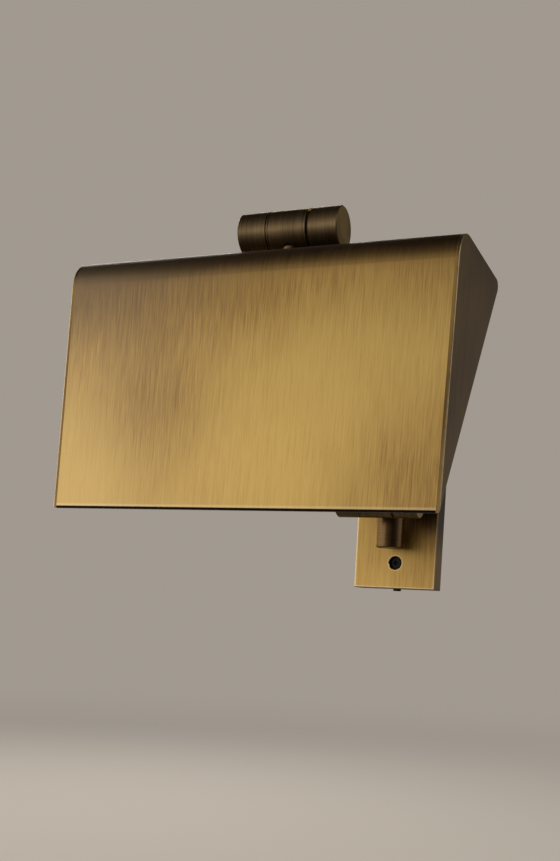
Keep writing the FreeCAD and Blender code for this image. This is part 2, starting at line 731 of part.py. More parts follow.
def pivot_set(prefix, axis, total, middle, radius, places):
    """The same bolt, nut, disc spring, rings and plugs at each of the given joints."""
    seat = "(%s / 2 - D.recess_depth)" % total
    tip = "(%s + D.spring_thick + D.nut_thick + 0.4)" % seat
    makers = {
        "pivot_bolt": lambda: pivot_bolt(axis, seat, tip),
        "pivot_nut": lambda: pivot_nut(axis, seat),
        "disc_spring": lambda: disc_spring(axis, seat),
        "thrust_ring": lambda: thrust_ring(axis, middle, radius),
        "fibre_washer": lambda: fibre_washer(axis, middle, radius),
        "end_plugs": lambda: end_plugs(axis, total),
    }
    for kind, make in makers.items():
        pieces = [place(make()) for place in places]
        several = len(pieces) > 1
        plural = "s" if several and not kind.endswith("s") else ""
        node("%s_%s%s" % (prefix, kind, plural), group(*pieces) if several else pieces[0])


# ---------------------------------------------------------------------------
# Horizontal knuckles and arm
# ---------------------------------------------------------------------------
def knuckle_centre(name, place, wire_angle, slot_start, slot_sweep, lock=False):
    """Middle segment of a knuckle: pivot bore, lead chamber, lead hole and a slot for its travel."""
    main = cylinder("x", "D.knuckle_radius", "D.centre_length", x="-D.centre_length / 2")
    bore = cylinder("x", "D.pivot_radius + D.running_gap", "2 * D.centre_length", x="-D.centre_length")
    chamber = cylinder("x", "D.chamber_radius", "D.chamber_width", x="-D.chamber_width / 2")
    slot = sector("D.knuckle_radius + 1", "D.wire_slot", slot_start, slot_sweep)
    wire = cylinder("z", "D.neck_bore", "2 * D.knuckle_radius")
    wire.Placement = Placement(Vector(), Rotation(Vector(1, 0, 0), wire_angle - 90))
    tools = [bore, chamber, slot, wire]
    if lock:
        tools.append(lock_pin("D.lock_radius", "D.knuckle_radius", "2 * D.knuckle_radius"))
    node(name, cut(main, *tools), place)


def lock_pin(radius, start_depth, length):
    """A cylinder across the knuckle axis at the lock angle, from a depth below the surface."""
    pin = cylinder("z", radius, length, name="LockPin")
    turn = Rotation(Vector(1, 0, 0), dim("lock_angle") - 90)
    pin.Placement = Placement(Vector(), turn)
    reach = "(D.knuckle_radius - (%s))" % start_depth
    bind(pin, "Placement.Base.y", "%s * cos(D.lock_angle * 1deg) * 1mm" % reach)
    bind(pin, "Placement.Base.z", "%s * sin(D.lock_angle * 1deg) * 1mm" % reach)
    return pin


def lock_screw():
    """Screw through the upper knuckle's middle segment, just backed off from the pivot bolt."""
    length = "(D.knuckle_radius - D.lock_sink - D.pivot_radius - D.lock_gap)"
    pin = lock_pin("D.lock_radius", "D.lock_sink + " + length, length)
    socket = lock_pin("D.lock_radius * 0.5", "D.lock_sink + 1.5", "D.knuckle_radius")
    node("knuckle_lock_screw", cut(pin, socket), at_shade)


def fork(name, place):
    """Fork at an end of the arm: two round cheeks, two lugs and a cross bar with the arm socket."""
    cheek_start = "(D.centre_length / 2 + D.thrust_gap)"
    cheek_length = "(D.knuckle_length / 2 - %s)" % cheek_start
    half = "(D.knuckle_length / 2)"
    inner_reach = "(D.knuckle_radius + D.fork_clear + 1)"
    parts = [
        block("2 * D.fork_half_width", "D.fork_depth", "D.fork_thick",
              "-D.fork_half_width", "(D.knuckle_radius + D.fork_clear)", "-D.fork_thick / 2")
    ]
    tools = [
        cylinder("x", "D.pivot_radius + D.running_gap", "2 * D.knuckle_length", x="-D.knuckle_length"),
        cylinder("x", "D.recess_radius", "D.recess_depth + 1", x="%s - D.recess_depth" % half),
        cylinder("x", "D.recess_radius", "D.recess_depth + 1", x="-%s - 1" % half),
        cylinder("y", "D.arm_radius + D.fit_gap", "D.arm_socket + 1",
                 y="(D.knuckle_radius + D.fork_clear) + D.fork_depth - D.arm_socket"),
        cylinder("y", "D.lead_radius", "2 * D.fork_depth", y="(D.knuckle_radius + D.fork_clear) - 1"),
    ]
    for side in ("right", "left"):
        round_start = cheek_start if side == "right" else "-%s + D.end_chamfer" % half
        bevel_start = "%s - D.end_chamfer" % half if side == "right" else "-" + half
        outer = "D.knuckle_radius - D.end_chamfer"
        radii = ("D.knuckle_radius", outer) if side == "right" else (outer, "D.knuckle_radius")
        lug_start = cheek_start if side == "right" else "-D.fork_half_width"
        parts.append(cylinder("x", "D.knuckle_radius", cheek_length + " - D.end_chamfer", x=round_start))
        parts.append(cone("x", radii[0], radii[1], "D.end_chamfer", x=bevel_start))
        parts.append(block("D.fork_half_width - " + cheek_start, inner_reach, "D.fork_thick",
                           lug_start, "0", "-D.fork_thick / 2"))
    node(name, cut(fuse(*parts), *tools), place)


def arm_tube():
    """Round tube between the sockets of the two forks, with the lead inside."""
    start = "((D.knuckle_radius + D.fork_clear) + D.fork_depth - D.arm_socket)"
    length = "(D.arm_length - 2 * %s)" % start
    tube = cylinder("y", "D.arm_radius", length, y=start)
    bore = cylinder("y", "D.arm_radius - D.arm_wall", length + " + 2", y=start + " - 1")
    node("arm_tube", cut(tube, bore), on_arm)
    lead_start = "((D.knuckle_radius + D.fork_clear) + 1)"
    lead = cylinder("y", "D.lead_radius", "D.arm_length - 2 * " + lead_start, y=lead_start)
    node("arm_lead", group(lead), on_arm)


# ---------------------------------------------------------------------------
# Stem and shade, drawn in the shade's own frame: +Y to the back edge, +Z up
# ---------------------------------------------------------------------------
TOP_OUTSIDE = "-D.shade_hang"
TOP_INSIDE = "-(D.shade_hang + D.shade_wall)"
LINER_INSIDE = "-(D.shade_hang + D.shade_wall + D.liner_wall)"
STRAP_BOTTOM = "-(D.shade_hang + D.shade_wall + D.liner_wall + D.strap_thick)"
FRONT_OUTSIDE = "-D.shade_ahead"
INNER_HALF = "(D.shade_width / 2 - D.end_thick)"


# The arm's slope as the shade sees it, and how far back the arm comes down to the shade's top.
ARM_SLOPE = "((D.arm_rise - D.shade_tilt) * 1deg)"
NOTCH_START = "(D.shade_hang - (D.arm_radius + D.notch_gap) / cos(%s)) / tan(%s)" % (ARM_SLOPE, ARM_SLOPE)


def shade_stem():
    """Stem from the knuckle to the shade, threaded below its shoulder."""
    shoulder = "(D.shade_hang - D.collar_thick)"
    thread_end = ("(D.shade_hang + D.shade_wall + D.liner_wall + D.strap_thick"
                  " + D.washer_thick + D.stem_nut_thick + D.stem_end)")
    upper = cylinder("z", "D.stem_radius", shoulder, z="-" + shoulder)
    thread = cylinder("z", "D.thread_radius", "%s - %s" % (thread_end, shoulder), z="-" + thread_end)
    bore = cylinder("z", "D.stem_bore", thread_end + " + 2", z="-%s - 1" % thread_end)
    knuckle = cylinder("x", "D.knuckle_radius", "4 * D.stem_radius", x="-2 * D.stem_radius")
    node("shade_stem", cut(fuse(upper, thread), bore, knuckle), at_shade)


def ring(label, radius, hole, thickness, top, hexagonal=False):
    """A washer, collar or nut on the stem, hung below the given height."""
    maker = hexagon if hexagonal else cylinder
    body = maker("z", radius, thickness, z="%s - %s" % (top, thickness))
    bore = cylinder("z", hole, "3 * " + thickness, z="%s - 2 * %s" % (top, thickness))
    node(label, cut(body, bore), at_shade)


def stem_rings():
    """Collar above the shade, washer and nut under the lamp bracket."""
    clear = "D.thread_radius + D.fit_gap"
    ring("stem_collar", "D.collar_radius", clear, "D.collar_thick", TOP_OUTSIDE + " + D.collar_thick")
    ring("stem_washer", "D.washer_radius", clear, "D.washer_thick", STRAP_BOTTOM)
    ring("stem_nut", "D.stem_nut_radius", "D.thread_radius", "D.stem_nut_thick",
         STRAP_BOTTOM + " - D.washer_thick", hexagonal=True)


def folded_sheet(width, wall, fold, front_y, top_z, front_length, top_length):
    """A sheet with a front leg down and a top leg back, joined by a quarter-round fold."""
    start = "-(%s) / 2" % width
    centre_y = "(%s) + %s" % (front_y, fold)
    centre_z = "(%s) - %s" % (top_z, fold)
    front = block(width, wall, "(%s) - %s" % (front_length, fold),
                  start, front_y, "(%s) - (%s)" % (top_z, front_length))
    top = block(width, "(%s) - %s" % (top_length, fold), wall, start, centre_y, "(%s) - %s" % (top_z, wall))
    bend = []
    for radius in (fold, "%s - %s" % (fold, wall)):
        quarter = cylinder("x", radius, width, x=start, y=centre_y, z=centre_z, name="Quarter")
        # the quarter lies between straight ahead and straight up
        turn = Rotation(Vector(1, 0, 0), 180)
        quarter.Placement = Placement(Vector(), turn.multiply(AXIS_TURN["x"]))
        move(quarter, start, centre_y, centre_z)
        quarter.Angle = 90
        bend.append(quarter)
    return fuse(front, top, cut(bend[0], bend[1]))


def shade_panel():
    """Front and top of the shade: one sheet, folded at a large radius, notched at the back for the arm."""
    sheet = folded_sheet("2 * " + INNER_HALF, "D.shade_wall", "D.shade_fold", FRONT_OUTSIDE, TOP_OUTSIDE,
                         "D.shade_front", "D.shade_top")
    hole = cylinder("z", "D.thread_radius + D.fit_gap", "6 * D.shade_wall",
                    z=TOP_OUTSIDE + " - 3 * D.shade_wall")
    middle = "%s + D.notch_half_width" % NOTCH_START
    low = TOP_OUTSIDE + " - 3 * D.shade_wall"
    notch_end = cylinder("z", "D.notch_half_width", "6 * D.shade_wall", y=middle, z=low)
    notch = block("2 * D.notch_half_width", "D.shade_top", "6 * D.shade_wall",
                  "-D.notch_half_width", middle, low)
    node("shade_panel", cut(sheet, hole, notch_end, notch), at_shade)


def reflector_liner():
    """Thin white liner inside the shade, clamped under its top by the stem nut."""
    front = "(%s + D.shade_wall + D.liner_gap)" % FRONT_OUTSIDE
    sheet = folded_sheet("2 * (%s - D.liner_end_gap)" % INNER_HALF, "D.liner_wall", "D.liner_fold", front,
                         TOP_INSIDE, "D.liner_front", "D.liner_top")
    hole = cylinder("z", "D.thread_radius + D.fit_gap", "8 * D.liner_wall",
                    z=TOP_INSIDE + " - 4 * D.liner_wall")
    node("reflector_liner", cut(sheet, hole), at_shade)


def end_plate(label, right):
    """Flat end of the shade: a right triangle with its fold and back corners rounded."""
    body = new_body("EndBody")
    outline = sketch_on(body, "YZ_Plane")
    front, top = -dim("shade_ahead"), -dim("shade_hang")
    back, bottom = front + dim("shade_top"), top - dim("shade_front")
    corners = [Vector(front, bottom), Vector(back, top), Vector(front, top)]
    for start, end in zip(corners, corners[1:] + corners[:1]):
        outline.addGeometry(Part.LineSegment(start, end), False)
    for side in range(3):
        constrain(outline, "Coincident", side, 2, (side + 1) % 3, 1)
    constrain(outline, "Horizontal", 1)
    constrain(outline, "Vertical", 2)
    constrain(outline, "DistanceX", 2, 1, -1, 1, -front, expression="D.shade_ahead")
    constrain(outline, "DistanceY", 2, 1, -1, 1, -top, expression="D.shade_hang")
    constrain(outline, "DistanceX", 1, 2, 1, 1, back - front, expression="D.shade_top")
    constrain(outline, "DistanceY", 2, 2, 2, 1, top - bottom, expression="D.shade_front")
    pad = extrude(body, "Pad", outline, "D.end_thick", backwards=not right)

    def across_at(y, z):
        def test(edge):
            middle = edge.BoundBox.Center
            nearby = math.hypot(middle.y - y, middle.z - z) < 0.01
            return is_line(edge) and edge.BoundBox.XLength > 0.5 and nearby
        return test

    pad = round_edges(body, pad, "D.shade_fold", across_at(front, top))
    pad = round_edges(body, pad, "D.end_corner", across_at(back, top))
    outside = dim("end_thick") if right else -dim("end_thick")

    def outer_rim(edge):
        flat = edge.BoundBox.XLength < 0.01 and abs(edge.BoundBox.XMin - outside) < 0.01
        slanted = is_line(edge) and edge.BoundBox.YLength > 10 and edge.BoundBox.ZLength > 10
        return flat and not slanted

    round_edges(body, pad, "D.end_edge", outer_rim)
    node(label, body, at_shade)
    side = INNER_HALF if right else "-" + INNER_HALF
    move(body, x=side, y=UPPER_Y, z=UPPER_Z)


# ---------------------------------------------------------------------------
# Lamp bracket, lampholder and lamp
# ---------------------------------------------------------------------------
LAMP = {"y": "-D.lamp_ahead", "z": "-D.lamp_drop"}


def lamp_bracket():
    """Steel strap under the stem nut, turned down at its end to carry the lampholder."""
    flat = block("D.holder_start + D.strap_tail", "D.strap_width", "D.strap_thick",
                 "-D.holder_start", "-D.strap_width / 2", STRAP_BOTTOM)
    leg = block("D.strap_thick", "D.leg_behind_lamp + D.holder_base_radius",
                "D.lamp_drop + D.holder_base_radius + " + LINER_INSIDE,
                "-D.holder_start", "-(D.lamp_ahead + D.holder_base_radius)",
                "-(D.lamp_drop + D.holder_base_radius)")
    stem = cylinder("z", "D.thread_radius + D.fit_gap", "8 * D.strap_thick",
                    z=STRAP_BOTTOM + " - 4 * D.strap_thick")
    start = "-D.holder_start - 4 * D.strap_thick"
    nipple = cylinder("x", "D.holder_nipple_radius + D.fit_gap", "8 * D.strap_thick", x=start, **LAMP)
    lead = cylinder("x", "D.lead_radius + 1", "8 * D.strap_thick", x=start,
                    y="-D.strap_lead_ahead", z="-D.strap_lead_drop")
    node("lamp_bracket", cut(fuse(flat, leg), stem, nipple, lead), at_shade)


def lampholder():
    """Lampholder body on a threaded nipple, its nipple nut and its outer shell."""
    base_start = "-(D.holder_start - D.strap_thick)"
    shell_start = "(%s + D.holder_base_length)" % base_start
    base = cylinder("x", "D.holder_base_radius", "D.holder_base_length", x=base_start, **LAMP)
    core = cylinder("x", "D.cap_radius + D.holder_wall", "D.holder_length", x=shell_start, **LAMP)
    nipple = cylinder("x", "D.holder_nipple_radius", "D.strap_thick + 6", x="-(D.holder_start + 6)", **LAMP)
    wire = cylinder("x", "D.lead_radius", "20", x="-(D.holder_start + 7)", **LAMP)
    socket = cylinder("x", "D.cap_radius + D.fit_gap", "D.cap_length + 1",
                      x="%s + D.holder_length - D.cap_length" % shell_start, **LAMP)
    node("lampholder", cut(fuse(base, core, nipple), socket, wire), at_shade)
    outer = cylinder("x", "D.holder_radius", "D.holder_length", x=shell_start, **LAMP)
    inner = cylinder("x", "D.cap_radius + D.holder_wall", "D.holder_length + 2", x=shell_start + " - 1", **LAMP)
    node("lampholder_shell", cut(outer, inner), at_shade)
    nut = hexagon("x", "D.holder_nipple_nut", "3", x="-(D.holder_start + 3)", **LAMP)
    hole = cylinder("x", "D.holder_nipple_radius", "6", x="-(D.holder_start + 4)", **LAMP)
    node("lampholder_nut", cut(nut, hole), at_shade)


def lamp():
    """Tubular lamp: screw cap, thin glass with a round end, and its filament strips."""
    mouth = "(-(D.holder_start - D.strap_thick) + D.holder_base_length + D.holder_length)"
    cap = cylinder("x", "D.cap_radius", "D.cap_length", x="%s - D.cap_length" % mouth, **LAMP)
    node("lamp_cap", group(cap), at_shade)
    shells = []
    for shrink in ("0", "D.lamp_wall"):
        radius = "(D.lamp_radius - %s)" % shrink
        straight = "(D.lamp_length - D.lamp_radius)"
        tube = cylinder("x", radius, straight + " - %s" % shrink, x="%s + %s" % (mouth, shrink), **LAMP)
        dome = DOC.addObject("Part::Sphere", "Dome")
        bind(dome, "Radius", "%s * 1mm" % radius)
        move(dome, "%s + %s" % (mouth, straight), **LAMP)
        shells.append(fuse(tube, dome))
    node("lamp_glass", cut(shells[0], shells[1]), at_shade)
    strips = []
    for index in range(int(dim("filament_count"))):
        angle = "(%d * 360 / D.filament_count) * 1deg" % index
        strips.append(cylinder("x", "D.filament_radius", "D.lamp_length * 0.7",
                               x=mouth + " + D.lamp_wall",
                               y="-D.lamp_ahead + D.filament_spread / 2 * cos(%s)" % angle,
                               z="-D.lamp_drop + D.filament_spread / 2 * sin(%s)" % angle))
    node("lamp_filaments", group(*strips), at_shade)


# ---------------------------------------------------------------------------
# Leads held inside
# ---------------------------------------------------------------------------
def bent_tube(points, radius, bend):
    """A round lead along straight runs joined by tangent arcs of one bend radius."""
    edges = []
    start = points[0]
    for before, corner, after in zip(points, points[1:], points[2:]):
        incoming = (corner - before).normalize()
        outgoing = (after - corner).normalize()
        turn = incoming.getAngle(outgoing)
        setback = bend * math.tan(turn / 2)
        arc_start = corner - incoming * setback
        arc_end = corner + outgoing * setback
        towards = (outgoing - incoming).normalize()
        centre = corner + towards * (bend / math.cos(turn / 2))
        middle = centre - towards * bend
        edges.append(Part.LineSegment(start, arc_start).toShape())
        edges.append(Part.Arc(arc_start, middle, arc_end).toShape())
        start = arc_end
    edges.append(Part.LineSegment(start, points[-1]).toShape())
    path = Part.Wire(edges)
    section = Part.Wire([Part.Circle(points[0], points[1] - points[0], radius).toShape()])
    return path.makePipeShell([section], True, False)


def lead_node(label, points, bend, place):
    """A lead as a Part::Feature, placed after its shape is set."""
    feature = DOC.addObject("Part::Feature", "Lead")
    feature.Shape = bent_tube(points, dim("lead_radius"), bend)
    node(label, feature, place)


def wall_lead():
    """Lead from the terminal block through the bush and into the chamber of the swivel barrel."""
    side = dim("saddle_width") / 2 + 1.5
    lip = dim("bracket_thick") + dim("grommet_lip")
    saddle_back = dim("plate_depth") - dim("plate_wall") - dim("saddle_thick")
    run_y = -(lip + saddle_back) / 2
    tip_y = -(dim("barrel_stand") - dim("pivot_radius") - 2 * dim("lead_radius"))
    points = [Vector(side, run_y, 0), Vector(0, run_y, 0), Vector(0, tip_y, 0)]
    lead_node("wall_lead", points, dim("lead_tight_bend"), in_wall_frame)


def shade_lead():
    """Lead from the stem's bore, through the lamp bracket's leg and round into the lampholder."""
    side_y, drop = -dim("strap_lead_ahead"), -dim("strap_lead_drop")
    outside = -(dim("holder_start") + dim("lead_loop"))
    lamp_y, lamp_z = -dim("lamp_ahead"), -dim("lamp_drop")
    points = [
        Vector(0, 0, -dim("knuckle_radius")),
        Vector(0, 0, drop),
        Vector(-dim("holder_start") / 3, side_y, drop),
        Vector(outside, side_y, drop),
        Vector(outside, lamp_y, lamp_z),
        Vector(-dim("holder_start"), lamp_y, lamp_z),
    ]
    lead_node("shade_lead", points, dim("lead_bend"), at_shade)


# ---------------------------------------------------------------------------
# Checks and export
# ---------------------------------------------------------------------------
def check_document():
    """Stop if any feature failed or any finished piece is not a valid, closed shape."""
    DOC.recompute()
    for obj in DOC.Objects:
        if "Invalid" in obj.State or "Error" in obj.State:
            raise RuntimeError("%s (%s) did not build: %s" % (obj.Name, obj.Label, obj.State))
    for obj in NODES:
        shape = obj.Shape
        if shape.isNull() or not shape.isValid() or not shape.Solids:
            raise RuntimeError("%s has no valid solid" % obj.Label)


def export_nodes():
    """Write one STEP file for each sub-part."""
    os.makedirs("parts", exist_ok=True)
    for obj in NODES:
        obj.Shape.exportStep("parts/%s.step" % obj.Label)


def build():
    """Model the whole fitting, from the wall outwards."""
    backplate_cover()
    wall_bracket()
    bracket_pillars()
    cover_saddle()
    cover_screws()
    cover_edge_screw()
    cable_grommet()
    lead_bush()
    terminal_block()
    earth_screw()
    barrel_studs()
    barrel_end("lower_barrel_end", upwards=False)
    barrel_end("upper_barrel_end", upwards=True)
    swivel_barrel()
    swivel_neck()
    pivot_set("swivel", "z", "D.barrel_length", "D.swivel_height", "D.barrel_radius", [at_swivel])
    knuckle_centre("wall_knuckle_centre", at_lower_knuckle, 0, 80, 150)
    fork("lower_fork", on_arm)
    pivot_set("knuckle", "x", "D.knuckle_length", "D.centre_length", "D.knuckle_radius",
              [at_lower_knuckle, at_arm_end])
    arm_tube()
    fork("upper_fork", at_arm_end)
    knuckle_centre("shade_knuckle_centre", at_shade, 270, -45, 130, lock=True)
    lock_screw()
    shade_stem()
    stem_rings()
    shade_panel()
    end_plate("left_end_plate", right=False)
    end_plate("right_end_plate", right=True)
    reflector_liner()
    lamp_bracket()
    lampholder()
    lamp()
    wall_lead()
    shade_lead()


build()
check_document()
export_nodes()
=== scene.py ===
import math

import bmesh
import bpy
from mathutils import Matrix, Vector


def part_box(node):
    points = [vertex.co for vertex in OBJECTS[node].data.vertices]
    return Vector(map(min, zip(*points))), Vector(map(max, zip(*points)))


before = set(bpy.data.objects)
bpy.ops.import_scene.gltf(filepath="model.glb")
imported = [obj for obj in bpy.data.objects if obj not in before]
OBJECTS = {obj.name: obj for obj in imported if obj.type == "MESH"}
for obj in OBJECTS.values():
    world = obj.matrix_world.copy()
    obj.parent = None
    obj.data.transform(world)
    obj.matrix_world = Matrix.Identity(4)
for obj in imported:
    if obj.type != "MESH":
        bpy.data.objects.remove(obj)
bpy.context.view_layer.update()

# ---------------------------------------------------------------------------
# Camera: the photograph's viewing angle. Lengths are in metres, in the frame's axes.
# ---------------------------------------------------------------------------
CAMERA_PLACE = Vector((0.2582, -0.8114, -0.0850))
CAMERA_RIGHT = Vector((0.91603, 0.39734, 0.05492))
CAMERA_UP = Vector((-0.06382, 0.00921, 0.99792))
CAMERA_LENS = 48.58
CAMERA_SHIFT = 0.2666
SENSOR_WIDTH = 36.0
CLIP_START = 0.01


def make_camera():
    data = bpy.data.cameras.new("camera")
    data.sensor_width = SENSOR_WIDTH
    data.lens = CAMERA_LENS
    data.shift_y = CAMERA_SHIFT
    data.dof.use_dof = False
    data.clip_start = CLIP_START
    camera = bpy.data.objects.new("camera", data)
    bpy.context.scene.collection.objects.link(camera)
    back = CAMERA_RIGHT.cross(CAMERA_UP).normalized()
    up = back.cross(CAMERA_RIGHT).normalized()
    turn = Matrix((CAMERA_RIGHT.normalized(), up, back)).transposed()
    camera.matrix_world = Matrix.Translation(CAMERA_PLACE) @ turn.to_4x4()
    bpy.context.scene.camera = camera


# ---------------------------------------------------------------------------
# Node building, shared by the stage and the finishes
# ---------------------------------------------------------------------------
class Nodes:
    """A node tree with short calls for the nodes that are used often."""

    def __init__(self, tree):
        self.tree = tree

    def node(self, kind, **settings):
        made = self.tree.nodes.new(kind)
        for key, value in settings.items():
            setattr(made, key, value)
        return made

    def link(self, output, socket):
        self.tree.links.new(output, socket)

    def range(self, value, low, high, to_low=0.0, to_high=1.0, smooth=True):
        made = self.node("ShaderNodeMapRange")
        made.interpolation_type = "SMOOTHSTEP" if smooth else "LINEAR"
        limits = {"From Min": low, "From Max": high, "To Min": to_low, "To Max": to_high}
        for key, number in limits.items():
            made.inputs[key].default_value = number
        self.link(value, made.inputs["Value"])
        return made.outputs["Result"]

    def math(self, kind, *items):
        made = self.node("ShaderNodeMath", operation=kind)
        for index, item in enumerate(items):
            if isinstance(item, (int, float)):
                made.inputs[index].default_value = item
            else:
                self.link(item, made.inputs[index])
        return made.outputs[0]

    def total(self, *values):
        made = values[0]
        for value in values[1:]:
            made = self.math("ADD", made, value)
        return made

    def split(self, vector):
        made = self.node("ShaderNodeSeparateXYZ")
        self.link(vector, made.inputs[0])
        return made.outputs

    def length(self, vector):
        made = self.node("ShaderNodeVectorMath", operation="LENGTH")
        self.link(vector, made.inputs[0])
        return made.outputs["Value"]


# ---------------------------------------------------------------------------
# Stage: pale floor, soft surroundings and studio lights
# ---------------------------------------------------------------------------
FLOOR_HEIGHT = -0.42
FLOOR_RADIUS = 6.0
FLOOR_SIDES = 96
FLOOR_COLOUR = (0.50, 0.46, 0.41, 1.0)
FLOOR_ROUGHNESS = 0.9
FLOOR_SPECULAR = 0.1
FLOOR_GLOW = 0.62
FLOOR_FADE_START, FLOOR_FADE_END = 0.5, 4.5
BACKDROP = (0.360, 0.322, 0.283, 1.0)
ROOM_TINT = (1.0, 0.95, 0.87, 1.0)
ROOM_BASE = 0.17
# the room's brightness from straight below (0.0) past eye level (0.5) to straight above (1.0)
ROOM_HEIGHTS = ((0.00, 0.04), (0.38, 0.10), (0.47, 0.45), (0.51, 1.00), (0.56, 1.00),
                (0.62, 0.66), (0.70, 0.34), (0.80, 0.15), (1.00, 0.07))
# direction of each brighter or dimmer side of the room (front left, front right, back left and
# right), the cosine where it starts, and how much it adds
ROOM_SIDES = (
    ((-0.707, -0.707, 0.0), 0.30, 1.62),
    ((0.640, -0.770, 0.0), 0.60, -0.12),
    ((-0.750, 0.660, 0.0), 0.30, 0.65),
    ((0.900, 0.430, 0.0), 0.80, 0.60),
)
LIGHT_TINT = (1.0, 0.96, 0.9)
LIGHT_TARGET = Vector((0, -0.15, 0.0))
# name, place, width and height, and power in watts
LIGHTS = (
    ("key", (-1.7, -1.0, 1.0), (1.3, 1.1), 5.5),
    ("fill", (1.9, -0.4, 1.0), (0.9, 0.9), 4.0),
    ("behind", (-1.2, 1.4, 1.1), (1.0, 0.8), 16.0),
)


def make_floor():
    """A pale floor that melts into the backdrop some way from the object."""
    mesh = bpy.data.meshes.new("floor")
    maker = bmesh.new()
    bmesh.ops.create_circle(maker, cap_ends=True, segments=FLOOR_SIDES, radius=FLOOR_RADIUS)
    maker.to_mesh(mesh)
    maker.free()
    floor = bpy.data.objects.new("floor", mesh)
    floor.location.z = FLOOR_HEIGHT
    bpy.context.scene.collection.objects.link(floor)
    material = bpy.data.materials.new("floor")
    material.use_nodes = True
    nodes = Nodes(material.node_tree)
    shader = nodes.tree.nodes["Principled BSDF"]
    shader.inputs["Base Color"].default_value = FLOOR_COLOUR
    shader.inputs["Roughness"].default_value = FLOOR_ROUGHNESS
    shader.inputs["Specular IOR Level"].default_value = FLOOR_SPECULAR
    shader.inputs["Emission Color"].default_value = BACKDROP
    path = nodes.node("ShaderNodeLightPath")
    glow = nodes.math("MULTIPLY", path.outputs["Is Camera Ray"], FLOOR_GLOW)
    nodes.link(glow, shader.inputs["Emission Strength"])
    away = nodes.length(nodes.node("ShaderNodeTexCoord").outputs["Object"])
    fade = nodes.range(away, FLOOR_FADE_START, FLOOR_FADE_END)
    mix = nodes.node("ShaderNodeMixShader")
    nodes.link(fade, mix.inputs["Fac"])
    nodes.link(shader.outputs[0], mix.inputs[1])
    nodes.link(nodes.node("ShaderNodeBsdfTransparent").outputs[0], mix.inputs[2])
    nodes.link(mix.outputs[0], nodes.tree.nodes["Material Output"].inputs["Surface"])
    mesh.materials.append(material)


def room_height(nodes, upward):
    """The room's brightness by height, for an upward part of the direction from -1 to 1."""
    height = nodes.node("ShaderNodeValToRGB")
    elements = height.color_ramp.elements
    first, *between, last = ROOM_HEIGHTS
    for element, (position, value) in zip((elements[0], elements[1]), (first, last)):
        element.position, element.color = position, (value, value, value, 1.0)
    for position, value in between:
        elements.new(position).color = (value, value, value, 1.0)
    nodes.link(nodes.math("MULTIPLY_ADD", upward, 0.5, 0.5), height.inputs["Fac"])
    return height.outputs["Color"]


def room_side(nodes, direction, towards, low, amount, base):
    """A side of the room that is brighter or dimmer, broadest where low is smallest."""
    turn = nodes.node("ShaderNodeVectorMath", operation="DOT_PRODUCT")
    turn.inputs[1].default_value = towards
    nodes.link(direction, turn.inputs[0])
    return nodes.range(turn.outputs["Value"], low, 1.0, base, base + amount)


def make_world():
    """A pale backdrop for the camera; for the metal, a room that is bright at eye level."""
    world = bpy.data.worlds.new("studio")
    bpy.context.scene.world = world
    world.use_nodes = True
    world.node_tree.nodes.clear()
    nodes = Nodes(world.node_tree)
    direction = nodes.node("ShaderNodeTexCoord").outputs["Generated"]
    height = room_height(nodes, nodes.split(direction)["Z"])
    sides = [room_side(nodes, direction, towards, low, amount, ROOM_BASE if index == 0 else 0.0)
             for index, (towards, low, amount) in enumerate(ROOM_SIDES)]
    room = nodes.node("ShaderNodeBackground")
    room.inputs["Color"].default_value = ROOM_TINT
    nodes.link(nodes.math("MULTIPLY", height, nodes.total(*sides)), room.inputs["Strength"])
    backdrop = nodes.node("ShaderNodeBackground")
    backdrop.inputs["Color"].default_value = BACKDROP
    path = nodes.node("ShaderNodeLightPath")
    mix = nodes.node("ShaderNodeMixShader")
    nodes.link(path.outputs["Is Camera Ray"], mix.inputs["Fac"])
    nodes.link(room.outputs[0], mix.inputs[1])
    nodes.link(backdrop.outputs[0], mix.inputs[2])
    nodes.link(mix.outputs[0], nodes.node("ShaderNodeOutputWorld").inputs["Surface"])


def make_lights():
    for name, place, size, power in LIGHTS:
        data = bpy.data.lights.new(name, "AREA")
        data.shape = "RECTANGLE"
        data.size, data.size_y = size
        data.energy = power
        data.color = LIGHT_TINT
        light = bpy.data.objects.new(name, data)
        light.location = place
        aim = LIGHT_TARGET - Vector(place)
        light.rotation_euler = aim.to_track_quat("-Z", "Y").to_euler()
        bpy.context.scene.collection.objects.link(light)


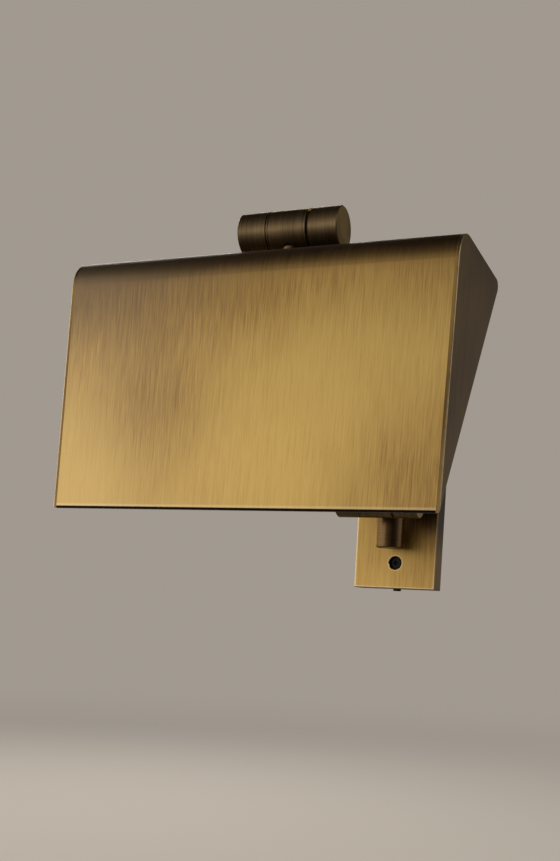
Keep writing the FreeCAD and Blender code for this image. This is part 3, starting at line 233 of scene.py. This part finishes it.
# ---------------------------------------------------------------------------
# Material building
# ---------------------------------------------------------------------------
class Look(Nodes):
    """A material with short calls for the nodes that the finishes share."""

    def __init__(self, name):
        self.material = bpy.data.materials.new(name)
        self.material.use_nodes = True
        super().__init__(self.material.node_tree)
        self.shader = self.tree.nodes["Principled BSDF"]
        self.coordinate = self.node("ShaderNodeTexCoord")

    def place(self, scale=(1, 1, 1), turn=(0, 0, 0), shift=(0, 0, 0)):
        """The object's own coordinates, turned and then scaled."""
        turned = self.node("ShaderNodeMapping")
        turned.inputs["Location"].default_value = shift
        turned.inputs["Rotation"].default_value = turn
        self.link(self.coordinate.outputs["Object"], turned.inputs["Vector"])
        scaled = self.node("ShaderNodeMapping")
        scaled.inputs["Scale"].default_value = scale
        self.link(turned.outputs[0], scaled.inputs["Vector"])
        return scaled.outputs[0]

    def facing(self, axis):
        """How squarely a face looks along an axis: 0 from the side, 1 straight on."""
        return self.math("ABSOLUTE", self.split(self.coordinate.outputs["Normal"])[axis])

    def noise(self, vector, scale, detail, rough, distortion=0.0):
        made = self.node("ShaderNodeTexNoise")
        self.link(vector, made.inputs["Vector"])
        made.inputs["Scale"].default_value = scale
        made.inputs["Detail"].default_value = detail
        made.inputs["Roughness"].default_value = rough
        made.inputs["Distortion"].default_value = distortion
        return made.outputs["Fac"]

    def swing(self, noise, amount):
        """A noise's usual values, spread evenly from minus to plus an amount."""
        return self.range(noise, 0.30, 0.70, -amount, amount, False)

    def mix(self, factor, first, second):
        made = self.node("ShaderNodeMix", data_type="RGBA")
        if isinstance(factor, (int, float)):
            made.inputs["Factor"].default_value = factor
        else:
            self.link(factor, made.inputs["Factor"])
        for socket, item in ((made.inputs[6], first), (made.inputs[7], second)):
            if isinstance(item, tuple):
                socket.default_value = item + (1.0,)
            else:
                self.link(item, socket)
        return made.outputs[2]

    def bump(self, height, strength, distance, under=None):
        made = self.node("ShaderNodeBump")
        made.inputs["Strength"].default_value = strength
        made.inputs["Distance"].default_value = distance
        self.link(height, made.inputs["Height"])
        if under is not None:
            self.link(under, made.inputs["Normal"])
        return made.outputs["Normal"]

    def patch(self, centre, radius, strength):
        """A soft round area of darker or lighter tone about a point of the object, used to paint
        shade, shadow and highlights into the colour.
        """
        away = self.node("ShaderNodeVectorMath", operation="DISTANCE")
        self.link(self.coordinate.outputs["Object"], away.inputs[0])
        away.inputs[1].default_value = centre
        return self.range(away.outputs["Value"], 0.0, radius, strength, 0.0)

    def set(self, **sockets):
        for key, value in sockets.items():
            socket = self.shader.inputs[key.replace("_", " ")]
            if isinstance(value, (int, float)):
                socket.default_value = value
            elif isinstance(value, tuple):
                socket.default_value = value + (1.0,)
            else:
                self.link(value, socket)


GOLD = (0.60, 0.410, 0.135)
HONEY = (0.43, 0.270, 0.088)
BROWN = (0.165, 0.100, 0.045)
DARK = (0.050, 0.031, 0.016)
PALE = (0.80, 0.63, 0.36)
DULL = (0.52, 0.39, 0.24)
# near-black for painted shade: the grooves beside the thrust rings and the line under the shade's
# lip
PAINTED_SHADE_BLACK = (0.008, 0.005, 0.003)
# each palette runs from the deepest patina to bare brass
BRUSHED = (DARK, BROWN, HONEY, GOLD)
TURNED = ((0.042, 0.030, 0.017), (0.148, 0.102, 0.054), (0.38, 0.270, 0.135), (0.58, 0.43, 0.21))
# the tones between which each colour of a palette gives way to the next
PALETTE_STEPS = ((0.0, 0.36), (0.30, 0.68), (0.62, 1.0))
EDGE_TINT = (0.90, 0.78, 0.60)
SCRATCH_DEPTH = 0.00008
STAIN_DEPTH = 0.0005
SPECK_DEPTH = 0.0001


def brass_base(look, across, shade, clouds, lines, rough, tangent, turn=0.0, fade=None, calm=None,
               palette=BRUSHED):
    """Aged brass with fine brushing, returning its colour.

    across gives how many scratches per metre lie along each axis, and shade the tone between the
    deepest patina at 0 and bare brass at 1. clouds and lines say how far clouds and brushing
    change that tone, fade adds to it, and calm weakens the brushing. The brushing is turned by
    turn about the x axis, and the highlights are stretched about the tangent axis.
    """
    turning = (turn, 0, 0)
    fine = look.noise(look.place(across, turning), 1.0, 2.0, 0.7)
    broad = look.noise(look.place(tuple(0.5 * a for a in across), turning), 1.0, 2.0, 0.5)
    cloud = look.noise(look.place((1, 1, 0.7), turning), 13.0, 2.0, 0.5, 0.4)
    stain = look.noise(look.place((1, 1, 1), turning, (0.31, 0.17, 0.45)), 55.0, 3.0, 0.6, 0.4)
    tone = look.total(look.swing(cloud, clouds), look.swing(stain, 0.3 * clouds))
    brushed = look.total(look.swing(broad, 0.7 * lines), look.swing(fine, lines))
    if calm is not None:
        brushed = look.math("MULTIPLY", brushed, calm)
    tone = look.total(tone, brushed, shade)
    if fade is not None:
        tone = look.total(tone, fade)
    colour = palette[0]
    for (start, end), step in zip(PALETTE_STEPS, palette[1:]):
        colour = look.mix(look.range(tone, start, end, smooth=False), colour, step)
    roughness = look.total(look.range(tone, 0.0, 1.0, rough + 0.08, rough - 0.03, False),
                           look.range(fine, 0.3, 0.7, -0.04, 0.05, False))
    grain = look.bump(fine, 0.12, SCRATCH_DEPTH)
    grain = look.bump(stain, 0.04, STAIN_DEPTH, grain)
    look.set(Base_Color=colour, Metallic=1.0, Roughness=roughness, Normal=grain, Anisotropic=0.5)
    direction = look.node("ShaderNodeTangent", direction_type="RADIAL", axis=tangent)
    look.link(direction.outputs[0], look.shader.inputs["Tangent"])
    return colour


def plain(name, colour, metallic, rough, grain_scale, variation, bump):
    """A secondary finish: a little colour variation, uneven gloss and a fine surface."""
    look = Look(name)
    speck = look.noise(look.place(), grain_scale, 4.0, 0.6)
    broad = look.noise(look.place(shift=(0.2, 0.4, 0.1)), 60.0, 3.0, 0.5)
    darker = tuple(c * (1.0 - variation) for c in colour)
    lighter = tuple(min(1.0, c * (1.0 + variation)) for c in colour)
    tone = look.total(look.math("MULTIPLY", speck, 0.45), look.math("MULTIPLY", broad, 0.55))
    look.set(Base_Color=look.mix(look.range(tone, 0.35, 0.65), darker, lighter),
             Metallic=metallic,
             Roughness=look.range(broad, 0.3, 0.7, rough - 0.05, rough + 0.08, False),
             Normal=look.bump(speck, bump, SPECK_DEPTH))
    return look


def dress(look, *nodes):
    """Put a material on every slot of the named frame nodes."""
    for name in nodes:
        for slot in OBJECTS[name].material_slots:
            slot.material = look.material


# ---------------------------------------------------------------------------
# Finishes. Distances are in metres and changes of tone are parts of the whole palette.
# ---------------------------------------------------------------------------
SHADE_LEAN = math.radians(3.7)
ARM_SLOPE = math.radians(36.86)
# start and end below the top, and the change of tone there: painted shade darkening the panel
# towards the fold
FOLD_SHADE_FADES = ((0.070, 0.006, -0.30), (0.020, 0.002, -0.32))
# place along the shade, height above its top or foot, radius and change of tone of each patch:
# painted shade where the tone falls, painted highlight where it rises
TOP_SHADE_PATCH = ((-0.095, -0.005, 0.095, -0.26),)
FOOT_SHADE_PATCH = ((-0.050, 0.058, 0.060, -0.24),)
FOLD_SHADE_PATCH = ((-0.005, -0.035, 0.045, -0.10),)
LOWER_HIGHLIGHT_AND_SHADE_PATCHES = ((-0.100, 0.020, 0.050, 0.12), (0.020, 0.036, 0.070, 0.14),
                (0.070, 0.085, 0.070, 0.16), (0.107, -0.010, 0.085, -0.26))
# start and end of the quieter brushing below the top, and the brushing left at its end
CALM_START, CALM_END, CALM_LEFT = 0.030, 0.008, 0.3
# the left side is duller: where it starts and ends along the shade, and how much
DULL_START, DULL_END, DULL_AMOUNT = -0.107, 0.03, 0.55
# heights above the foot of the painted highlight along the lip and of the painted shadow line
# below it, and how strongly each is painted
LIP_HIGHLIGHT = (0.0030, 0.0020, 0.40)
LIP_SHADOW_LINE = (0.0016, 0.0011, 1.0)
# the ring's middle beyond the centre segment's end, and the distances from that middle where the
# painted groove shade at each edge begins and is full
RING_MIDDLE = 0.00085
RING_GROOVE_SHADE = (0.00015, 0.00040)
FIXING_OFFSET, HOLE_RADIUS = 0.0392, 0.0045
PLATE_EDGE = (0.0016, 0.0006)
# painted shadow of the lamp's shade on the plate's upper right: place, radius and change of tone
PLATE_SHADOW_X, PLATE_SHADOW_RISE, PLATE_SHADOW_RADIUS, PLATE_SHADOW_TONE = 0.026, 0.072, 0.055, -0.75


def finish_shade():
    low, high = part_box("shade_panel")
    panel = Look("shade_panel_brass")
    where = panel.split(panel.place())
    # painted shade towards the fold
    parts = [panel.range(where["Z"], high.z - start, high.z - end, 0.0, change)
             for start, end, change in FOLD_SHADE_FADES]
    # patches of painted shade and painted highlight across the panel
    for base, clouds in ((high.z, TOP_SHADE_PATCH), (low.z, FOOT_SHADE_PATCH), (high.z, FOLD_SHADE_PATCH),
                         (low.z, LOWER_HIGHLIGHT_AND_SHADE_PATCHES)):
        parts += [panel.patch((x, low.y, base + rise), radius, change)
                  for x, rise, radius, change in clouds]
    calm = panel.range(where["Z"], high.z - CALM_START, high.z - CALM_END, 1.0, CALM_LEFT)
    colour = brass_base(panel, (2300, 70, 70), 0.82, 0.06, 0.10, 0.36, "X", SHADE_LEAN,
                        panel.total(*parts), calm)
    dull = panel.range(where["X"], DULL_START, DULL_END, DULL_AMOUNT, 0.0)
    colour = panel.mix(dull, colour, panel.mix(0.5, colour, DULL))
    # a painted highlight along the lip and a painted shadow line under it
    for (start, end, amount), tint in ((LIP_HIGHLIGHT, PALE), (LIP_SHADOW_LINE, PAINTED_SHADE_BLACK)):
        lip = panel.range(where["Z"], low.z + start, low.z + end, 0.0, amount)
        colour = panel.mix(lip, colour, tint)
    panel.set(Base_Color=colour)
    dress(panel, "shade_panel")

    ends = Look("end_plate_brass")
    facing = ends.facing("X")
    rim = ends.math("MULTIPLY", ends.range(facing, 0.98, 0.90), ends.range(facing, 0.05, 0.30))
    colour = brass_base(ends, (14, 1500, 14), 0.42, 0.08, 0.05, 0.42, "Y", SHADE_LEAN)
    # the rounded rim turns pale in patches: partly worn brass, partly a painted highlight along
    # the edge
    rim_patchiness = ends.noise(ends.place(), 160.0, 4.0, 0.65)
    rim_wear_and_highlight = ends.math("MULTIPLY", rim, ends.range(rim_patchiness, 0.25, 0.60, 0.45, 0.95))
    ends.set(Base_Color=ends.mix(rim_wear_and_highlight, colour, PALE))
    dress(ends, "left_end_plate", "right_end_plate")


def finish_joints():
    knuckle = Look("knuckle_brass")
    ends_on = knuckle.facing("X")
    brass_base(knuckle, (1900, 25, 25), 0.31, 0.08, 0.05, 0.32, "X",
               fade=knuckle.range(ends_on, 0.80, 0.95, 0.0, 0.36),
               calm=knuckle.range(ends_on, 0.80, 0.95, 1.0, 0.0), palette=TURNED)
    knuckle.set(Specular_Tint=EDGE_TINT)
    dress(knuckle, "shade_knuckle_centre", "wall_knuckle_centre", "lower_fork", "upper_fork",
          "knuckle_end_plugs", "knuckle_lock_screw")

    ring = Look("thrust_ring_brass")
    colour = brass_base(ring, (1900, 25, 25), 0.40, 0.08, 0.05, 0.32, "X", palette=TURNED)
    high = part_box("shade_knuckle_centre")[1]
    across = ring.math("ABSOLUTE", ring.split(ring.place())["X"])
    off_centre = ring.math("ABSOLUTE", ring.math("SUBTRACT", across, high.x + RING_MIDDLE))
    # the ring's edges painted near-black: painted shade in the grooves beside it
    ring.set(Base_Color=ring.mix(ring.range(off_centre, *RING_GROOVE_SHADE), colour, PAINTED_SHADE_BLACK))
    dress(ring, "knuckle_thrust_rings")

    barrel = Look("barrel_brass")
    brass_base(barrel, (25, 25, 1900), 0.19, 0.08, 0.05, 0.23, "Z")
    barrel.set(Specular_Tint=EDGE_TINT)
    dress(barrel, "lower_barrel_end", "upper_barrel_end", "swivel_barrel", "swivel_end_plugs",
          "shade_stem", "stem_collar")

    tube = Look("arm_brass")
    brass_base(tube, (60, 700, 60), 0.46, 0.10, 0.06, 0.32, "Y", ARM_SLOPE)
    dress(tube, "arm_tube", "swivel_neck")


def finish_plate():
    low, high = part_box("backplate_cover")
    cover = Look("cover_brass")
    flat = cover.facing("Y")
    # painted shade: the cover's sides, top and bottom are darker than its front, and the shadow
    # of the lamp's shade is painted on its upper right
    fade = cover.total(cover.range(flat, 0.5, 0.95, -0.30, 0.0),
                       cover.patch((PLATE_SHADOW_X, low.y, low.z + PLATE_SHADOW_RISE),
                                   PLATE_SHADOW_RADIUS, PLATE_SHADOW_TONE))
    colour = brass_base(cover, (1500, 1500, 50), 0.68, 0.07, 0.07, 0.33, "Z", fade=fade)
    where = cover.split(cover.place())
    across = cover.math("ABSOLUTE", where["X"])
    along = cover.math("ABSOLUTE", where["Z"])
    # a pale rim along the cover's edges, on faces turned to the front: partly rubbed brass,
    # partly a painted highlight on the bevels
    start, end = PLATE_EDGE
    edge = cover.math("MAXIMUM", cover.range(across, high.x - start, high.x - end),
                      cover.range(along, high.z - start, high.z - end))
    edge = cover.math("MULTIPLY", edge, cover.range(flat, 0.30, 0.60, 0.0, 0.60))
    # a pale ring round the fixing hole: a painted highlight on its chamfer, partly rubbed brass
    offset = cover.node("ShaderNodeCombineXYZ")
    cover.link(across, offset.inputs["X"])
    cover.link(cover.math("SUBTRACT", along, FIXING_OFFSET), offset.inputs["Z"])
    away = cover.length(offset.outputs[0])
    lip = cover.math("MULTIPLY", cover.range(away, HOLE_RADIUS, HOLE_RADIUS + 0.0003),
                     cover.range(away, HOLE_RADIUS + 0.0016, HOLE_RADIUS + 0.0008, 0.0, 0.55))
    colour = cover.mix(cover.math("MAXIMUM", edge, lip), colour, PALE)
    # the hole's inside painted dark: painted shade
    inside = cover.range(away, HOLE_RADIUS + 0.0002, HOLE_RADIUS - 0.0001)
    cover.set(Base_Color=cover.mix(inside, colour, DARK))
    dress(cover, "backplate_cover", "cover_saddle")


# name, colour, metallic, roughness, grain scale, colour variation, bump, and the nodes it is on
PLAIN_FINISHES = (
    ("clean_brass", (0.66, 0.47, 0.19), 1.0, 0.26, 900, 0.12, 0.1,
     ("swivel_thrust_ring", "terminal_screws")),
    ("zinc_steel", (0.52, 0.52, 0.50), 1.0, 0.34, 700, 0.14, 0.12,
     ("wall_bracket", "bracket_pillars", "barrel_studs", "stud_nuts", "earth_screw", "earth_tag",
      "swivel_pivot_bolt", "swivel_pivot_nut", "swivel_disc_spring", "knuckle_pivot_bolts",
      "knuckle_pivot_nuts", "knuckle_disc_springs", "stem_washer", "stem_nut", "lamp_bracket",
      "lampholder_nut")),
    ("black_screw", (0.004, 0.004, 0.004), 0.0, 0.6, 900, 0.3, 0.2,
     ("cover_screws", "cover_edge_screw")),
    ("dark_fibre", (0.035, 0.024, 0.017), 0.0, 0.75, 1400, 0.3, 0.4,
     ("knuckle_fibre_washers", "swivel_fibre_washer")),
    ("white_enamel", (0.74, 0.72, 0.66), 0.0, 0.38, 500, 0.04, 0.12, ("reflector_liner",)),
    ("black_rubber", (0.022, 0.022, 0.022), 0.0, 0.70, 1200, 0.25, 0.3, ("cable_grommet",)),
    ("lead_sleeve", (0.66, 0.62, 0.54), 0.0, 0.55, 1500, 0.08, 0.25,
     ("wall_lead", "neck_lead", "arm_lead", "shade_lead")),
    ("white_plastic", (0.70, 0.68, 0.62), 0.0, 0.42, 800, 0.05, 0.15,
     ("terminal_block", "lead_bush")),
    ("black_plastic", (0.028, 0.027, 0.026), 0.0, 0.40, 800, 0.2, 0.2,
     ("lampholder", "lampholder_shell")),
    ("cap_metal", (0.62, 0.62, 0.60), 1.0, 0.30, 800, 0.10, 0.15, ("lamp_cap",)),
    ("filament", (0.78, 0.50, 0.12), 0.0, 0.55, 900, 0.15, 0.3, ("lamp_filaments",)),
)


def finish_small_parts():
    for *finish, nodes in PLAIN_FINISHES:
        dress(plain(*finish), *nodes)
    glass = plain("lamp_glass", (0.95, 0.94, 0.90), 0.0, 0.06, 300, 0.02, 0.02)
    glass.set(Transmission_Weight=1.0, IOR=1.45)
    dress(glass, "lamp_glass")


make_camera()
make_floor()
make_world()
make_lights()
finish_shade()
finish_joints()
finish_plate()
finish_small_parts()
bpy.context.scene.view_settings.view_transform = "Standard"
